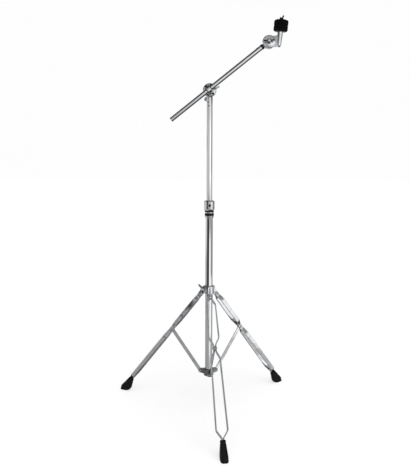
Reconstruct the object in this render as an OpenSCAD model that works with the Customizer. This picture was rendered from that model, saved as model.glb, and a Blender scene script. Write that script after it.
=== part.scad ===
// Double-braced boom cymbal stand, millimetres.
// Origin on the floor under the base tube, +Z up, viewed from -Y.

/* [Tubes] */
// Outside diameter of the base tube
base_od = 25.4; // [25.2:0.1:25.6]
// Outside diameter of the mast (upper tube)
mast_od = 20; // [19.8:0.1:20.2]
// Outside diameter of the boom tube
boom_od = 15; // [14.8:0.1:15.2]

/* [Heights] */
// Lower end of the base tube above the floor
tube_z = 114.25; // [113.25:0.25:115.25]
// Upper face of the height clamp
clamp_z = 729; // [725:1:735]
// Upper end of the mast tube
mast_top = 1067; // [1060:1:1070]
// Height of the boom ratchet's axis above the mast's end
tilt_up = 24; // [23.5:0.5:26]

/* [Tripod] */
// Distance of the leg and brace pivots from the tube's axis
pivot_r = 32; // [31:0.5:34]
// Pivot to pivot length of a brace, and of a leg's upper half
link = 178; // [175:1:181]
// Angle of the legs from the vertical
leg_th = 38.6; // [38:0.1:39]
// Width of the leg strips
strip_w = 14; // [12:0.5:15]
// Thickness of the leg strips
strip_t = 3.8; // [2.8:0.1:4]

/* [Boom] */
// Angle of the boom above the horizontal
elev = 37.4; // [30:0.2:45]
// Turn of the boom about the mast's axis
swing = 6; // [0:1:15]
// Length of boom below the ratchet's axis
boom_lo = 158; // [140:1:170]
// Length of boom above the ratchet's axis
boom_hi = 209; // [205:1:213]

/* [Cymbal holder] */
// Diameter of a felt
felt_d = 45; // [38:0.5:50]
// Thickness of a felt
felt_h = 15.5; // [14:0.5:18]
// Lean of the cymbal rod from the vertical
lean = 5.2; // [0:0.2:10]

/* [Hidden] */
$fn = 64;

chrome = [0.78, 0.79, 0.81];
steel = [0.66, 0.67, 0.70];
black = [0.05, 0.05, 0.06];
nylon = [0.12, 0.12, 0.13];
eps = 0.01;

base_r = base_od / 2;
base_ir = base_r - 1.5;
mast_r = mast_od / 2;
mast_ir = mast_r - 1.4;
boom_r = boom_od / 2;
boom_ir = boom_r - 1.2;

front_ang = -82.8;                       // direction of the front leg about +Z
leg_angs = [front_ang, front_ang + 120, front_ang + 240];
piv_lo = tube_z + 11;                    // height of the brace pivots
piv_hi = piv_lo + 2 * link * cos(leg_th);// height of the leg pivots
rivet_r = 3;                             // pivot rivet
ear_t = 5;                               // leg ears of the sliding collar
cheek_g = 1.8;                           // half gap of the lower clevises
cheek_t = 4;
brace_t = 3;
brace_w = 13;
leg_boot = 455;                          // leg pivot to the top of the boot
leg_end = 488;                           // leg pivot to the strips' ends
bolt_r = 4;                              // M8 wing bolts and rod

tilt_z = mast_top + tilt_up;
boom_y = -21.5;                          // boom axis in front of the mast axis
disc_r = 22;                             // boom ratchet
head_r = 20.5;                           // holder ratchet
head_t = boom_hi + 28.5;                 // holder ratchet along the boom
head_p = -1.25;                          // and above its axis
rod_dx = 32.1;                           // rod to holder ratchet
seat_z = 32.6;                           // underside of the lower felt along the rod
nut_z = seat_z + 2 * felt_h + 0.6;       // underside of the top nut

// ---- helpers -------------------------------------------------------------
function bez(a, b, c, n) = [for (i = [0:n]) let (t = i / n) a * (1 - t) * (1 - t) + b * (2 * t * (1 - t)) + c * t * t];
function toward(a, b, d) = a + (b - a) * (d / norm(b - a));
function rounded(p, d, n) = [p[0], for (i = [1:len(p) - 2]) each bez(toward(p[i], p[i - 1], d), p[i], toward(p[i], p[i + 1], d), n), p[len(p) - 1]];
function tang(p, i) = let (a = p[max(0, i - 1)], b = p[min(len(p) - 1, i + 1)]) (b - a) / norm(b - a);
function side(p, h) = [for (i = [0:len(p) - 1]) let (t = tang(p, i)) p[i] + h * [-t[1], t[0]]];
function rev(p) = [for (i = [len(p) - 1:-1:0]) p[i]];
function band(p, t) = concat(side(p, t / 2), rev(side(p, -t / 2)));
function tanpt(p, c, r, s) = let (v = p - c, a = atan2(v[1], v[0]), b = acos(r / norm(v))) c + r * [cos(a + s * b), sin(a + s * b)];
function soft(p, d, n) = [for (i = [0:len(p) - 1]) let (a = p[(i + len(p) - 1) % len(p)], b = p[i], c = p[(i + 1) % len(p)]) each bez(toward(b, a, d), b, toward(b, c, d), n)];

// tube along +Z
module pipe(ro, ri, z0, z1) {
  difference() {
    translate([0, 0, z0]) cylinder(r = ro, h = z1 - z0);
    translate([0, 0, z0 - 1]) cylinder(r = ri, h = z1 - z0 + 2);
  }
}
// disc along +Z with both rims chamfered
module puck(r, z0, z1, c) {
  rotate_extrude() polygon([[0, z0], [r - c, z0], [r, z0 + c], [r, z1 - c], [r - c, z1], [0, z1]]);
}
// ring along +Z with all rims chamfered
module hoop(ro, ri, z0, z1, c) {
  rotate_extrude() polygon([[ri, z0], [ro - c, z0], [ro, z0 + c], [ro, z1 - c], [ro - c, z1], [ri, z1]]);
}
// plate in the plane of X and Z, t thick along Y
module plate(p, t, y = 0) {
  translate([0, y + t / 2, 0]) rotate([90, 0, 0]) linear_extrude(height = t) polygon(p);
}
// rivet along Y with a low round head on each side of the grip g
module rivet(r, g, hr, hh) {
  rotate([90, 0, 0]) rotate_extrude() polygon(concat(
    [[0, -g / 2 - hh]],
    [for (i = [1:4]) [hr * sin(i * 22.5), -g / 2 - hh * cos(i * 22.5)]],
    [[hr, -g / 2], [r, -g / 2], [r, g / 2], [hr, g / 2]],
    [for (i = [3:-1:1]) [hr * sin(i * 22.5), g / 2 + hh * cos(i * 22.5)]],
    [[0, g / 2 + hh]]));
}
// wing nut or wing bolt head along +Z: round hub from 0 to h, wings out to span, the second one turned from the first
module wings(hub_r, h, span, rise, t, second = 180) {
  cylinder(r1 = hub_r, r2 = hub_r * 0.86, h = h);
  for (s = [0, second]) rotate([0, 0, s]) {
    rotate([90, 0, 0]) translate([0, 0, -t / 2]) linear_extrude(height = t)
      polygon(soft([[hub_r * 0.4, 0.6], [hub_r * 1.05, 0.6], [span * 0.74, rise * 0.36], [span, rise * 0.62],
        [span * 0.96, rise], [span * 0.66, rise], [hub_r * 0.4, h * 0.93]], 1.2, 4));
  }
}
// radial V notches of a toothed face at z = 0, cut downwards
module notches(r0, r1, n, d) {
  for (i = [0:n - 1]) rotate([0, 0, i * 360 / n])
    translate([r0, 0, 0]) rotate([90, 0, 90]) linear_extrude(height = r1 - r0)
      polygon([[-d * 0.62, 0.2], [d * 0.62, 0.2], [0, -d]]);
}

// ---- frames --------------------------------------------------------------
module at_leg(i) { rotate([0, 0, leg_angs[i]]) children(); }
// X down the leg from its top pivot, Y across, Z out of the leg's face
module down_leg(i) { at_leg(i) translate([pivot_r, 0, piv_hi]) rotate([0, 90 - leg_th, 0]) children(); }
// X up the brace from its lower pivot
module up_brace(i) { at_leg(i) translate([pivot_r, 0, piv_lo]) rotate([0, leg_th - 90, 0]) children(); }
// X right in the boom's plane, Y back, Z up, at the ratchet's axis
module at_tilt() { translate([0, 0, tilt_z]) rotate([0, 0, -swing]) children(); }
// X along the boom
module along_boom() { at_tilt() translate([0, boom_y, 0]) rotate([0, -elev, 0]) children(); }
module at_head() { along_boom() translate([head_t, 0, head_p]) rotate([0, elev, 0]) children(); }
// Z up the cymbal rod
module at_rod() { at_head() translate([rod_dx, 0, 0]) rotate([0, lean, 0]) children(); }
// turn a shape made along +Z so that it points to +Y
module facing_back() { rotate([-90, 0, 0]) children(); }

// ---- base ----------------------------------------------------------------
module base_tube() {
  color(chrome) pipe(base_r, base_ir, tube_z + 0.5, clamp_z - 29);
}
module tube_end_cap() {
  color(black) union() {
    puck(base_r - 0.1, tube_z - 2.5, tube_z + 0.45, 0.8);
    translate([0, 0, tube_z]) cylinder(r = base_ir - 0.05, h = 14);
  }
}
// one cheek of a lower clevis
module cheek() {
  plate(soft([[base_r + 1, tube_z + 4], [pivot_r - 3, tube_z + 5], [pivot_r + 2.5, tube_z + 6], [pivot_r + 5.5, tube_z + 9.5], [pivot_r + 5, tube_z + 14.5], [pivot_r + 0.5, tube_z + 18.5], [base_r + 1, tube_z + 21]], 1.8, 4), cheek_t);
}
module lower_collar() {
  color(chrome) difference() {
    union() {
      translate([0, 0, tube_z]) hoop(base_r + 4.8, base_r - 1, 0, 24, 1.2);
      for (i = [0:2]) at_leg(i) for (s = [-1, 1]) translate([0, s * (cheek_g + cheek_t / 2), 0]) cheek();
    }
    translate([0, 0, tube_z - 5]) cylinder(r = base_r + 0.02, h = 45);
    for (i = [0:2]) at_leg(i) translate([pivot_r, 0, piv_lo]) rotate([90, 0, 0]) cylinder(r = rivet_r + 0.02, h = 30, center = true);
    translate([0, 0, tube_z + 15]) rotate([0, 0, front_ang + 60]) rotate([0, 90, 0]) cylinder(r = 2.02, h = 30);
  }
}
module lower_collar_pin() {
  color(steel) translate([0, 0, tube_z + 15]) rotate([0, 0, front_ang + 60]) rotate([0, 90, 0])
    translate([0, 0, base_r + 0.1]) union() {
      cylinder(r = 2, h = 4.8);
      translate([0, 0, 4.75]) cylinder(r1 = 3.4, r2 = 2.2, h = 1.2);
    }
}
module brace_pins() {
  color(steel) for (i = [0:2]) at_leg(i) translate([pivot_r, 0, piv_lo])
    rivet(rivet_r, 2 * (cheek_g + cheek_t), 5, 2.2);
}
module brace(i) {
  color(chrome) up_brace(i) difference() {
    union() {
      translate([0, -brace_t / 2, -brace_w / 2]) cube([link, brace_t, brace_w]);
      for (x = [0, link]) translate([x, 0, 0]) rotate([90, 0, 0]) cylinder(r = brace_w / 2, h = brace_t, center = true);
    }
    for (x = [0, link]) translate([x, 0, 0]) rotate([90, 0, 0]) cylinder(r = rivet_r + 0.08, h = 20, center = true);
  }
}
module brace_front() { brace(0); }
module brace_right() { brace(1); }
module brace_left() { brace(2); }

// ---- legs ----------------------------------------------------------------
w_top = ear_t / 2 + 0.3 + strip_t / 2;
w_mid = cheek_g + strip_t / 2;
w_end = 0.1 + strip_t / 2;
leg_path = rounded([[0, w_top], [10.5, w_top], [22, 13.4], [60, 16.2], [link - 34, 16.6], [link - 11, w_mid], [link + 12, w_mid],
  [link + 34, 14.6], [leg_boot - 25, 17.6], [leg_boot - 3, w_end], [leg_end, w_end]], 4.6, 5);
module leg_strip(i, s) {
  color(chrome) down_leg(i) mirror([0, s > 0 ? 0 : 1, 0]) difference() {
    union() {
      linear_extrude(height = strip_w, center = true) polygon(band(leg_path, strip_t));
      translate([0, w_top, 0]) rotate([90, 0, 0]) cylinder(r = strip_w / 2, h = strip_t, center = true);
    }
    for (x = [0, link]) translate([x, 0, 0]) rotate([90, 0, 0]) cylinder(r = rivet_r + 0.02, h = 60, center = true);
    translate([leg_end - 10, 0, 0]) rotate([90, 0, 0]) cylinder(r = 2.02, h = 30, center = true);
  }
}
module leg_rivets(i) {
  color(steel) down_leg(i) {
    rivet(rivet_r, 2 * w_top + strip_t, 5, 2.2);
    translate([link, 0, 0]) rivet(rivet_r, 2 * w_mid + strip_t, 5, 2.2);
    translate([leg_end - 10, 0, 0]) rotate([90, 0, 0]) cylinder(r = 2, h = 2 * w_end + strip_t - 0.1, center = true);
  }
}
// foot: a wedge with a flat sole, narrow at the leg and broad on the floor
foot_r = pivot_r + leg_boot * sin(leg_th);
foot_z = piv_hi - leg_boot * cos(leg_th);
module boot(i) {
  nx = cos(leg_th); nz = sin(leg_th);
  color(black) difference() {
    at_leg(i) intersection() {
      plate(soft([[foot_r - 9.2 * nx, foot_z - 9.2 * nz], [foot_r + 3.2, 9], [foot_r + 11, 0], [foot_r + 46, 0],
        [foot_r + 43, 14], [foot_r + 8.4 * nx + 1, foot_z + 8.4 * nz - 1]], 2.2, 4), 40);
      translate([foot_r - 40, 0, 0]) rotate([90, 0, 90]) linear_extrude(height = 110)
        polygon(soft([[-12.4, 0], [12.4, 0], [12, 9], [8.2, foot_z + 14], [-8.2, foot_z + 14], [-12, 9]], 1.6, 4));
    }
    down_leg(i) translate([leg_boot - 14, -w_end - strip_t / 2 - 0.06, -strip_w / 2 - 0.06])
      cube([leg_end - leg_boot + 14.5, 2 * w_end + strip_t + 0.12, strip_w + 0.12]);
  }
}
module leg_front_strip_a() { leg_strip(0, 1); }
module leg_front_strip_b() { leg_strip(0, -1); }
module leg_front_rivets() { leg_rivets(0); }
module leg_front_boot() { boot(0); }
module leg_right_strip_a() { leg_strip(1, 1); }
module leg_right_strip_b() { leg_strip(1, -1); }
module leg_right_rivets() { leg_rivets(1); }
module leg_right_boot() { boot(1); }
module leg_left_strip_a() { leg_strip(2, 1); }
module leg_left_strip_b() { leg_strip(2, -1); }
module leg_left_rivets() { leg_rivets(2); }
module leg_left_boot() { boot(2); }

// ---- sliding leg collar ---------------------------------------------------
ring_z0 = piv_hi + 6;
ring_z1 = piv_hi + 34;
lock_z = piv_hi + 25;
lock_ang = front_ang - 60;
module collar_ear() {
  c = [pivot_r, piv_hi];
  q = [base_r + 3, ring_z0 + 2];
  p = [base_r + 8, ring_z1 - 3];
  difference() {
    union() {
      plate([[base_r + 2, ring_z0 + 2], q, tanpt(q, c, 8.5, 1), tanpt(p, c, 8.5, -1), p, [base_r + 2, ring_z1 - 3]], ear_t);
      translate([c[0], 0, c[1]]) rotate([90, 0, 0]) cylinder(r = 8.5, h = ear_t, center = true);
      // root of the ear, as broad as the leg's two strips
      translate([base_r + 2, 0, 0]) rotate([90, 0, 90]) linear_extrude(height = 7)
        polygon(soft([[-6, ring_z0 + 2], [6, ring_z0 + 2], [6, ring_z1 - 3], [-6, ring_z1 - 3]], 4, 4));
    }
    translate([c[0], 0, c[1]]) rotate([90, 0, 0]) cylinder(r = rivet_r + 0.08, h = 20, center = true);
  }
}
module upper_collar() {
  color(chrome) difference() {
    union() {
      hoop(base_r + 5.4, base_r, ring_z0, ring_z1, 1.4);
      for (i = [0:2]) at_leg(i) collar_ear();
      translate([0, 0, lock_z]) rotate([0, 0, lock_ang]) rotate([0, 90, 0]) translate([0, 0, base_r + 3]) cylinder(r = 7.5, h = 7.5);
    }
    translate([0, 0, ring_z0 - 5]) cylinder(r = base_r + 1.62, h = 60);
    translate([0, 0, lock_z]) rotate([0, 0, lock_ang]) rotate([0, 90, 0]) cylinder(r = bolt_r + 0.06, h = 40);
  }
}
module collar_liner() {
  color(nylon) difference() {
    pipe(base_r + 1.6, base_r + 0.08, ring_z0 + 0.4, ring_z1 - 0.4);
    translate([0, 0, lock_z]) rotate([0, 0, lock_ang]) rotate([0, 90, 0]) cylinder(r = bolt_r + 0.06, h = 40);
  }
}
module collar_wing_bolt() {
  color(chrome) translate([0, 0, lock_z]) rotate([0, 0, lock_ang]) rotate([0, 90, 0]) union() {
    translate([0, 0, base_r + 0.4]) cylinder(r = bolt_r, h = 14);
    translate([0, 0, base_r + 11]) rotate([0, 0, 38]) wings(6.5, 10, 19, 15, 4);
  }
}

// ---- height clamp ---------------------------------------------------------
cl0 = clamp_z - 56;
cl_mid = clamp_z - 29;
cl_bolt = clamp_z - 15;
module clamp_casting() {
  color(chrome) difference() {
    union() {
      rotate_extrude() polygon([[base_r - 1, cl0], [15, cl0], [16, cl0 + 1], [16, cl0 + 6], [13.9, cl0 + 7], [13.9, cl0 + 13.6],
        [15.6, cl0 + 14.4], [15.6, cl0 + 18.4], [14.2, cl0 + 19], [14.2, cl0 + 22.6], [15.6, cl0 + 23.2], [16.4, cl_mid - 1.5], [18.2, cl_mid + 0.5],
        [18.2, clamp_z - 1.6], [16.8, clamp_z], [base_r - 1, clamp_z]]);
      translate([0, 0, cl_bolt]) rotate([-90, 0, 0]) cylinder(r = 8.5, h = 25);
      translate([0.6, 0, cl_bolt]) rotate([90, 0, 0]) cylinder(r = 6, h = 20.4);
    }
    translate([0, 0, cl0 - 5]) cylinder(r = base_r + 0.02, h = 80);
    translate([0, 0, cl_bolt]) rotate([-90, 0, 0]) cylinder(r = bolt_r + 0.06, h = 40);
    translate([0.6, 0, cl_bolt]) rotate([90, 0, 0]) cylinder(r = 3.02, h = 40);
    // slits on both sides of the pressed front
    rotate([0, 0, -110]) translate([8, -2, cl_mid + 2.5]) cube([20, 4, 40]);
    rotate([0, 0, -29]) translate([8, -1.6, cl_mid + 2.5]) cube([20, 3.2, 40]);
  }
}
module clamp_ring() {
  color(black) {
    rotate_extrude() polygon([[13.95, cl0 + 7.1], [15.3, cl0 + 7.1], [15.6, cl0 + 7.5], [15.6, cl0 + 13.1], [15.3, cl0 + 13.5], [13.95, cl0 + 13.5]]);
    rotate_extrude() polygon([[14.25, cl0 + 19.1], [15.2, cl0 + 19.1], [15.5, cl0 + 19.5], [15.5, cl0 + 22.1], [15.2, cl0 + 22.5], [14.25, cl0 + 22.5]]);
  }
}
module clamp_bush() {
  color(nylon) rotate_extrude() polygon([[mast_r + 0.08, cl0 + 4], [base_ir - 0.03, cl0 + 4], [base_ir - 0.03, clamp_z - 28.9],
    [base_r - 0.03, clamp_z - 28.9], [base_r - 0.03, clamp_z + 0.6], [base_r - 0.6, clamp_z + 1.1], [mast_r + 0.08, clamp_z + 1.1]]);
}
// sits in the bolt's hole, between the bolt and the guide bush
module clamp_pad() {
  color([0.72, 0.6, 0.3]) difference() {
    translate([0, 0, cl_bolt]) rotate([-90, 0, 0]) cylinder(r = bolt_r, h = 15.6);
    translate([0, 0, cl_bolt - 10]) cylinder(r = base_r + 0.02, h = 20);
  }
}
module clamp_screw() {
  color([0.1, 0.1, 0.11]) translate([0.6, 0, cl_bolt]) rotate([90, 0, 0]) difference() {
    translate([0, 0, 13]) union() {
      cylinder(r = 3, h = 8);
      translate([0, 0, 7.41]) cylinder(r1 = 4.6, r2 = 3.8, h = 1.6);
    }
    translate([0, 0, 18]) cylinder(r = 2, h = 6, $fn = 6);
  }
}
module clamp_wing_bolt() {
  color(chrome) translate([0, 0, cl_bolt]) rotate([-90, 0, 0]) union() {
    translate([0, 0, 15.9]) cylinder(r = bolt_r, h = 14);
    translate([0, 0, 25.4]) rotate([0, 0, 86]) wings(7.5, 12, 24, 18, 4.6);
  }
}

// ---- mast -----------------------------------------------------------------
mast_z0 = mast_top - 560;
module mast_glide() {
  color(nylon) difference() {
    translate([0, 0, mast_z0 - 3.4]) cylinder(r = base_ir - 0.08, h = 33);
    translate([0, 0, mast_z0 - 0.3]) cylinder(r = mast_r + 0.06, h = 40);
    translate([0, 0, mast_z0 - 8]) cylinder(r = 6, h = 20);
  }
}
rivet_spots = [[-122, -14.5], [-108, -26]];
module mast_tube() {
  color(chrome) difference() {
    pipe(mast_r, mast_ir, mast_z0, mast_top);
    for (p = rivet_spots) translate([0, 0, mast_top + p[1]]) rotate([0, 0, p[0]]) rotate([0, 90, 0]) cylinder(r = 1.52, h = 20);
  }
}
module mast_rivets() {
  color(black) for (p = rivet_spots) translate([0, 0, mast_top + p[1]]) rotate([0, 0, p[0]]) rotate([0, 90, 0]) union() {
    translate([0, 0, mast_ir + 0.1]) cylinder(r = 1.5, h = 2);
    translate([0, 0, mast_r + 0.02]) cylinder(r1 = 2.4, r2 = 1.5, h = 0.9);
  }
}
module tilter_base() {
  color(chrome) difference() {
    union() {
      translate([0, 0, mast_top - 36]) cylinder(r = mast_ir - 0.03, h = 38);
      translate([0, 0, mast_top]) rotate_extrude() polygon([[0, 0.02], [mast_r, 0.02], [mast_r, 3], [mast_r - 1.6, 6], [mast_r - 1.6, 10], [0, 10]]);
      at_tilt() {
        facing_back() puck(disc_r, -2, 9, 1);
        facing_back() puck(disc_r - 8, 0, 11.5, 1.5);
      }
    }
    at_tilt() facing_back() {
      // room for the saddle to turn
      translate([0, 0, -42]) cylinder(r = disc_r + 0.8, h = 40);
      translate([0, 0, -60]) cylinder(r = bolt_r + 0.08, h = 120);
      translate([0, 0, -2]) rotate([180, 0, 0]) notches(14, 24, 30, 1.7);
    }
  }
}

// ---- boom clamp -------------------------------------------------------------
module tilter_saddle() {
  color(chrome) difference() {
    at_tilt() union() {
      // round rim, groove and domed middle
      facing_back() rotate_extrude() polygon(concat([[0, -2.6], [disc_r - 0.8, -2.6], [disc_r, -3.4]],
        [for (i = [0:8]) [disc_r - 4.5 + 4.5 * cos(i * 11.25), -7.5 - 4.5 * sin(i * 11.25)]], [[disc_r - 5.6, -11.2]],
        [for (i = [0:9]) [15.8 * cos(6 + i * 8), -10.8 - 6.7 * sin(6 + i * 8)]], [[0, -17.5]]));
    }
    along_boom() rotate([0, 90, 0]) cylinder(r = boom_r + 0.1, h = 80, center = true);
    along_boom() rotate([0, 90, 0]) cylinder(r = boom_r + 1.5, h = 18.4, center = true);
    along_boom() rotate([0, 90, 0]) cylinder(r = 12.6, h = 13.6, center = true);
    at_tilt() facing_back() {
      translate([0, 0, -60]) cylinder(r = bolt_r + 0.05, h = 120);
      translate([0, 0, -2.6]) notches(14, 24, 30, 1.7);
      // six pockets for the pads
      for (i = [0:5]) rotate([0, 0, -15 - 60 * i]) translate([17, 0, -30]) cylinder(r = 3.2, h = 23.5);
    }
  }
}
module tilter_pads() {
  color(nylon) at_tilt() facing_back() for (i = [0:5]) rotate([0, 0, -15 - 60 * i]) translate([17, 0, -8.7]) cylinder(r = 3.15, h = 2.15);
}
module eye_bolt() {
  color(chrome) difference() {
    union() {
      along_boom() rotate([0, 90, 0]) rotate_extrude() polygon([[boom_r + 1.35, -6.5], [11.6, -6.5], [12.3, -5.6], [12.3, 5.6], [11.6, 6.5], [boom_r + 1.35, 6.5]]);
      at_tilt() facing_back() translate([0, 0, boom_y + 10.5]) cylinder(r = bolt_r, h = 45);
    }
    along_boom() rotate([0, 90, 0]) cylinder(r = boom_r + 1.35, h = 80, center = true);
  }
}
module tilter_washer() {
  color(steel) at_tilt() facing_back() difference() {
    puck(9, 11.8, 13.4, 0.4);
    cylinder(r = bolt_r + 0.03, h = 30);
  }
}
module tilter_wing_nut() {
  color(chrome) at_tilt() facing_back() difference() {
    translate([0, 0, 13.7]) rotate([0, 0, -28]) wings(7.5, 12, 34, 15, 6, 148);
    cylinder(r = bolt_r + 0.06, h = 60);
  }
}

// ---- boom -------------------------------------------------------------------
module boom_liner() {
  color(nylon) along_boom() rotate([0, 90, 0]) translate([0, 0, -8.8]) pipe(boom_r + 1.3, boom_r + 0.08, 0, 17.6);
}
module boom_tube() {
  color(chrome) along_boom() difference() {
    rotate([0, 90, 0]) pipe(boom_r, boom_ir, -boom_lo, boom_hi);
    translate([boom_hi - 12, 0, 0]) cylinder(r = 1.52, h = 20);
  }
}
module boom_end_plug() {
  color(black) along_boom() rotate([0, 90, 0]) difference() {
    puck(boom_ir - 0.03, -boom_lo + 1, -boom_lo + 12, 0.5);
    translate([0, 0, -boom_lo]) cylinder(r = boom_ir - 2.2, h = 7);
  }
}
module boom_head() {
  color(chrome) difference() {
    union() {
      along_boom() rotate([0, 90, 0]) {
        translate([0, 0, boom_hi - 26]) cylinder(r = boom_ir - 0.03, h = 26.1);
        translate([0, 0, boom_hi + 0.02]) rotate_extrude() polygon([[0, 0], [boom_r - 0.9, 0], [boom_r - 0.9, 26], [0, 26]]);
      }
      at_head() facing_back() puck(head_r, 0.4, 9, 1.5);
    }
    // room for the holder's disc to turn
    at_head() facing_back() translate([0, 0, -40]) cylinder(r = head_r + 0.8, h = 40.4);
    at_head() facing_back() {
      translate([0, 0, -60]) cylinder(r = bolt_r + 0.06, h = 120);
      translate([0, 0, 0.4]) rotate([180, 0, 0]) notches(14, 24, 30, 1.7);
    }
    along_boom() translate([boom_hi - 12, 0, 3.2]) cylinder(r = 1.52, h = 20);
  }
}
// black ring on the boom's tip, round the neck of the head
module boom_tip_ring() {
  color(nylon) along_boom() rotate([0, 90, 0]) difference() {
    puck(boom_r + 0.9, boom_hi + 0.1, boom_hi + 6.9, 0.8);
    translate([0, 0, boom_hi - 5]) cylinder(r = boom_r - 0.86, h = 30);
  }
}
module boom_head_rivet() {
  color(steel) along_boom() translate([boom_hi - 12, 0, 0]) union() {
    translate([0, 0, 3.3]) cylinder(r = 1.5, h = boom_r - 3.2);
    translate([0, 0, boom_r + 0.02]) cylinder(r1 = 2.4, r2 = 1.5, h = 0.9);
  }
}

// ---- cymbal holder ------------------------------------------------------------
module cymbal_holder() {
  color(chrome) difference() {
    union() {
      // round rim and slightly crowned face
      at_head() facing_back() rotate_extrude() polygon(concat([[0, -0.4], [head_r - 0.8, -0.4], [head_r, -1.2]],
        [for (i = [0:8]) [head_r - 3.2 + 3.2 * cos(i * 11.25), -5.4 - 3.2 * sin(i * 11.25)]],
        [for (i = [1:7]) let (r = (head_r - 3.2) * (1 - i / 8)) [r, -8.6 - 1.6 * (1 - pow(r / (head_r - 3.2), 2))]], [[0, -10.2]]));
      at_head() facing_back() puck(8, -11.3, -6, 0.8);
      // arm with a web up to the seat
      at_head() plate(soft([[4, -18], [rod_dx - 1.5, -15], [rod_dx + 2.4, 27], [rod_dx - 2.6, 28], [24, 19], [15, 17.5], [4, 17]], 2, 4), 4.4, -2.7);
      at_rod() rotate_extrude() polygon(concat([for (i = [0:6]) [7.2 * sin(i * 15), -9.6 - 7.2 * cos(i * 15)]], [[8.8, seat_z - 3.7], [8, seat_z - 2.7], [0, seat_z - 2.7]]));
    }
    at_head() facing_back() {
      translate([0, 0, -60]) cylinder(r = bolt_r + 0.06, h = 120);
      translate([0, 0, -0.4]) notches(14, 24, 30, 1.7);
    }
    at_rod() translate([0, 0, 6]) cylinder(r = bolt_r + 0.02, h = 60);
  }
}
module holder_wing_bolt() {
  color(chrome) at_head() facing_back() rotate([180, 0, 0]) union() {
    translate([0, 0, -8]) cylinder(r = bolt_r, h = 24);
    translate([0, 0, 11.5]) rotate([0, 0, 2]) wings(6, 13, 17, 17, 4);
  }
}
module cymbal_rod() {
  color(steel) at_rod() translate([0, 0, 6.2]) puck(bolt_r, 0, nut_z + 6.6 - 6.2, 0.7);
}
module seat_washer() {
  color(black) at_rod() translate([0, 0, seat_z - 2.6]) rotate_extrude() polygon([[bolt_r + 0.03, 0], [9, 0], [14, 0.8], [15, 1.7], [15, 2.5], [bolt_r + 0.03, 2.5]]);
}
module felt(z0) {
  rr = felt_d / 2;
  translate([0, 0, z0]) rotate_extrude() polygon(concat(
    [[bolt_r + 2.3, 0], [rr - 3, 0]],
    [for (i = [1:5]) [rr - 3 + 3 * sin(i * 18), 3 - 3 * cos(i * 18)]],
    [for (i = [0:5]) [rr - 3 + 3 * cos(i * 18), felt_h - 3 + 3 * sin(i * 18)]],
    [[bolt_r + 2.3, felt_h]]));
}
module lower_felt() { color(black) at_rod() felt(seat_z); }
module cymbal_sleeve() {
  color(nylon) at_rod() pipe(bolt_r + 2, bolt_r + 0.03, seat_z + 0.05, seat_z + 2 * felt_h - 2);
}
module upper_felt() { color(black) at_rod() felt(seat_z + felt_h + 0.3); }
module top_wing_nut() {
  color(chrome) at_rod() difference() {
    translate([0, 0, nut_z]) rotate([0, 0, -70]) union() {
      puck(8.6, 0, 1.6, 0.4);
      translate([0, 0, 1.2]) wings(6, 6.4, 13.5, 12, 4.6);
    }
    translate([0, 0, nut_z - 20]) cylinder(r = bolt_r + 0.06, h = 80);
  }
}

base_tube();
tube_end_cap();
lower_collar();
lower_collar_pin();
brace_pins();
brace_front();
brace_right();
brace_left();
leg_front_strip_a();
leg_front_strip_b();
leg_front_rivets();
leg_front_boot();
leg_right_strip_a();
leg_right_strip_b();
leg_right_rivets();
leg_right_boot();
leg_left_strip_a();
leg_left_strip_b();
leg_left_rivets();
leg_left_boot();
upper_collar();
collar_liner();
collar_wing_bolt();
clamp_casting();
clamp_ring();
clamp_bush();
clamp_pad();
clamp_screw();
clamp_wing_bolt();
mast_glide();
mast_tube();
mast_rivets();
tilter_base();
tilter_saddle();
tilter_pads();
eye_bolt();
tilter_washer();
tilter_wing_nut();
boom_liner();
boom_tube();
boom_end_plug();
boom_head();
boom_tip_ring();
boom_head_rivet();
cymbal_holder();
holder_wing_bolt();
cymbal_rod();
seat_washer();
lower_felt();
cymbal_sleeve();
upper_felt();
top_wing_nut();
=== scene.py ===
"""Looks of the boom cymbal stand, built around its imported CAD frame. Metres, +Z up, seen from -Y."""

import math

import bmesh
import bpy
from mathutils import Matrix, Vector, noise


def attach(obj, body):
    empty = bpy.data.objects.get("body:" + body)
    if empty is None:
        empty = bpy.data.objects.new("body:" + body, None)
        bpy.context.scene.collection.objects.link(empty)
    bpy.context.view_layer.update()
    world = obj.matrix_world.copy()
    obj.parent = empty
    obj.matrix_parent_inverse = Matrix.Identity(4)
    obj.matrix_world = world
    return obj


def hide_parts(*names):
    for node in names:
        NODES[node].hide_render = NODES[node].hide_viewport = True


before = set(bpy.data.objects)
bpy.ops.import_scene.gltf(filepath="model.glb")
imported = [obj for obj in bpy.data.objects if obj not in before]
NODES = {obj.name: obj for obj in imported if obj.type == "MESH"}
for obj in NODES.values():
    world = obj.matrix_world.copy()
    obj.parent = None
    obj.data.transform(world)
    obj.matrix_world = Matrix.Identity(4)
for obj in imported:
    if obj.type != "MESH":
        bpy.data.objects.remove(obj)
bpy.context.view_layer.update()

MM = 0.001
rad = math.radians

# ---- sizes in millimetres, the same as the CAD's ------------------------------
base_r, base_ir = 12.7, 11.2
mast_r, mast_ir = 10.0, 8.6
boom_r, boom_ir = 7.5, 6.3
tube_z, clamp_z, mast_top, tilt_up = 114.25, 729.0, 1067.0, 24.0
tilt_z = mast_top + tilt_up
pivot_r, link, leg_th = 32.0, 178.0, 38.6
strip_w, strip_t = 14.0, 3.8
brace_w, brace_t = 13.0, 3.0
elev, swing, boom_lo, boom_hi, boom_y = 37.4, 6.0, 158.0, 209.0, -21.5
felt_d, felt_h, lean = 45.0, 15.5, 5.2
front_ang = -82.8
leg_angs = [front_ang, front_ang + 120, front_ang + 240]
LEGS = ["front", "right", "left"]
piv_lo = tube_z + 11
piv_hi = piv_lo + 2 * link * math.cos(rad(leg_th))
leg_boot, leg_end = 455.0, 488.0
foot_r = pivot_r + leg_boot * math.sin(rad(leg_th))
foot_z = piv_hi - leg_boot * math.cos(rad(leg_th))
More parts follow.
